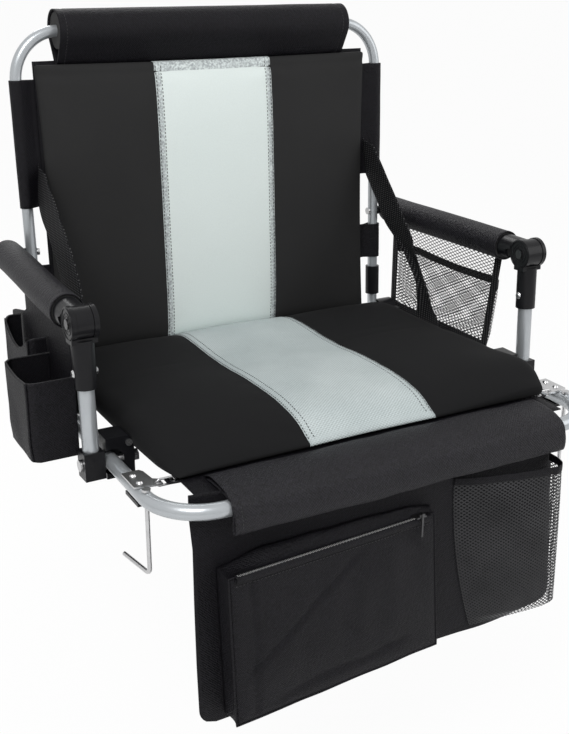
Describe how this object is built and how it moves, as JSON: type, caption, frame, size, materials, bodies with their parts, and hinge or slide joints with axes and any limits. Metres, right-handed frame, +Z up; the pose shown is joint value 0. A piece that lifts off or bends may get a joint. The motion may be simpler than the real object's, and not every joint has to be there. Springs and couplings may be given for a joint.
{
  "type": "folding bleacher seat",
  "caption": "Folding bleacher seat with padded back and seat on a tube frame, linked armrests, side pockets and a hanging front organiser.",
  "frame": {"origin": "on the bench top, midway between the two rear hinges, under their axis", "axes": "+X to the right seen from the front, the seat faces -Y, +Z up"},
  "size_m": [0.6778, 0.5259, 0.6986],
  "materials": {
    "silver_paint": "silver-grey powder coat, smooth",
    "black_plastic": "black nylon, slightly glossy on the elbows",
    "zinc_steel": "zinc-plated steel",
    "zip_metal": "dark plated metal",
    "charcoal_cloth": "black woven polyester, matte",
    "pale_cloth": "pale grey-green woven mesh",
    "black_cloth": "black coated polyester",
    "black_net": "black polyester net",
    "black_webbing": "black woven webbing",
    "foam": "dark foam, hidden inside the sleeves"
  },
  "bodies": {
    "seat": {"seat_frame": "silver_paint", "rear_cross_tube": "silver_paint", "hinge_brackets": "black_plastic", "hinge_bolts": "zinc_steel", "post_saddles": "black_plastic", "post_pivot_bolts": "zinc_steel", "sling_tabs": "zinc_steel", "tab_underplates": "black_plastic", "frame_screws": "zinc_steel", "wire_links": "zinc_steel", "grommets": "zinc_steel", "seat_sling": "black_cloth", "seat_cushion": "charcoal_cloth", "seat_stripe": "pale_cloth", "front_sleeve": "black_cloth", "apron": "black_cloth", "zip_pocket": "black_cloth", "zipper": "black_plastic", "bottle_net": "black_net", "bottle_hem": "black_webbing", "strap_left": "black_webbing", "strap_right": "black_webbing"},
    "back": {"back_frame": "silver_paint", "hinge_collars": "black_plastic", "back_panel": "black_cloth", "back_cushion": "charcoal_cloth", "back_stripe": "pale_cloth", "top_foam": "foam", "top_sleeve": "black_cloth", "arm_pivot_bolts": "zinc_steel", "arm_spacers": "black_plastic"},
    "arm_left": {"arm_tube_left": "silver_paint", "arm_knuckle_left": "black_plastic", "arm_foam_left": "foam", "arm_sleeve_left": "black_cloth", "side_panel": "black_cloth", "cup_pocket_front": "black_cloth", "cup_pocket_rear": "black_cloth"},
    "arm_right": {"arm_tube_right": "silver_paint", "arm_knuckle_right": "black_plastic", "arm_foam_right": "foam", "arm_sleeve_right": "black_cloth", "side_net": "black_net", "net_binding": "black_webbing", "side_pocket": "black_net"},
    "post_left": {"post_fork_left": "black_plastic", "post_tube_left": "silver_paint", "post_foot_left": "black_plastic", "elbow_pin_left": "zinc_steel", "post_rivet_left": "zinc_steel"},
    "post_right": {"post_fork_right": "black_plastic", "post_tube_right": "silver_paint", "post_foot_right": "black_plastic", "elbow_pin_right": "zinc_steel", "post_rivet_right": "zinc_steel"},
    "bench_hook_left": {"hook_left": "zinc_steel"},
    "bench_hook_right": {"hook_right": "zinc_steel"},
    "slider": {"zip_slider": "zip_metal"},
    "pull": {"zip_pull": "zip_metal"}
  },
  "joints": [
    {"name": "back_fold", "type": "hinge", "parent": "seat", "child": "back", "pos_m": [0, 0, 0.02], "axis": [1, 0, 0], "range_deg": [0, 72], "deforming": ["seat_cushion", "seat_stripe", "back_cushion", "back_stripe", "strap_left", "strap_right", "arm_foam_left", "arm_foam_right", "arm_sleeve_left", "arm_sleeve_right", "side_panel", "cup_pocket_front", "cup_pocket_rear", "side_net", "net_binding", "side_pocket"]},
    {"name": "arm_left_turn", "type": "hinge", "parent": "back", "child": "arm_left", "pos_m": [0, 0.00685, 0.17685], "axis": [1, 0, 0], "range_deg": [-72, 0]},
    {"name": "post_left_turn", "type": "hinge", "parent": "arm_left", "child": "post_left", "pos_m": [0, -0.29315, 0.17685], "axis": [1, 0, 0], "range_deg": [0, 72]},
    {"name": "arm_right_turn", "type": "hinge", "parent": "back", "child": "arm_right", "pos_m": [0, 0.00685, 0.17685], "axis": [1, 0, 0], "range_deg": [-72, 0]},
    {"name": "post_right_turn", "type": "hinge", "parent": "arm_right", "child": "post_right", "pos_m": [0, -0.29315, 0.17685], "axis": [1, 0, 0], "range_deg": [0, 72]},
    {"name": "hook_left_turn", "type": "hinge", "parent": "seat", "child": "bench_hook_left", "pos_m": [-0.275, -0.404, 0.02], "axis": [0, 0, -1], "range_deg": [-30, 120]},
    {"name": "hook_right_turn", "type": "hinge", "parent": "seat", "child": "bench_hook_right", "pos_m": [0.275, -0.404, 0.02], "axis": [0, 0, 1], "range_deg": [-30, 120]},
    {"name": "zip_slide", "type": "slide", "parent": "seat", "child": "slider", "axis": [-0.9981, -0.0621, 0], "range_m": [0, 0.22]},
    {"name": "pull_swing", "type": "hinge", "parent": "slider", "child": "pull", "pos_m": [0.02012, -0.46582, -0.0446], "axis": [-0.9981, -0.0621, 0], "range_deg": [0, 150]}
  ],
  "couplings": [
    {"joint": "arm_left_turn", "follows": "back_fold", "ratio": -1},
    {"joint": "post_left_turn", "follows": "back_fold", "ratio": 1},
    {"joint": "arm_right_turn", "follows": "back_fold", "ratio": -1},
    {"joint": "post_right_turn", "follows": "back_fold", "ratio": 1}
  ]
}
